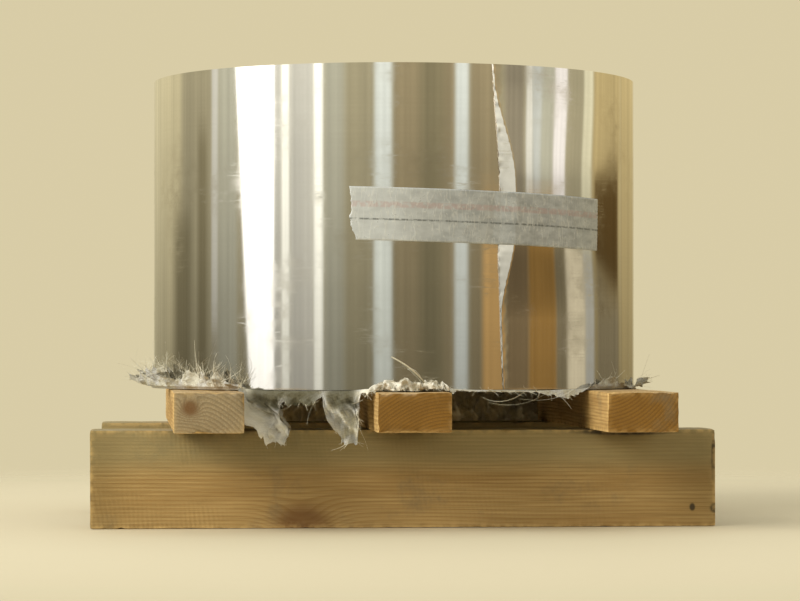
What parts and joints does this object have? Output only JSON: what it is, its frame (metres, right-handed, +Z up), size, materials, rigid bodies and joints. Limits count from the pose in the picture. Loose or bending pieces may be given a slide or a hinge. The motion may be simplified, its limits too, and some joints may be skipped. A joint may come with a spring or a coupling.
{
  "type": "steel coil on a timber skid",
  "caption": "Narrow bright steel strip coil, standing on end with its bore upright, on a sawn timber skid of battens over bearers, with torn wrap below and a tape over its end.",
  "frame": {"origin": "on the floor under the skid, on the axis of the coil's bore", "axes": "+Z up along the bore, +X along the bearers, -Y the side where the strip's taped end is seen"},
  "size_m": [0.582, 0.5704, 0.4222],
  "materials": {
    "steel": "bright",
    "tape": "satin",
    "wrap": "woven",
    "batten_wood": "sawn",
    "bearer_wood": "sawn"
  },
  "bodies": {
    "root": {"coil": "steel", "tail_tape": "tape", "wrap_sheet": "wrap", "batten_left": "batten_wood", "batten_middle": "batten_wood", "batten_right": "batten_wood", "bearer_front": "bearer_wood", "bearer_rear": "bearer_wood"}
  },
  "joints": []
}
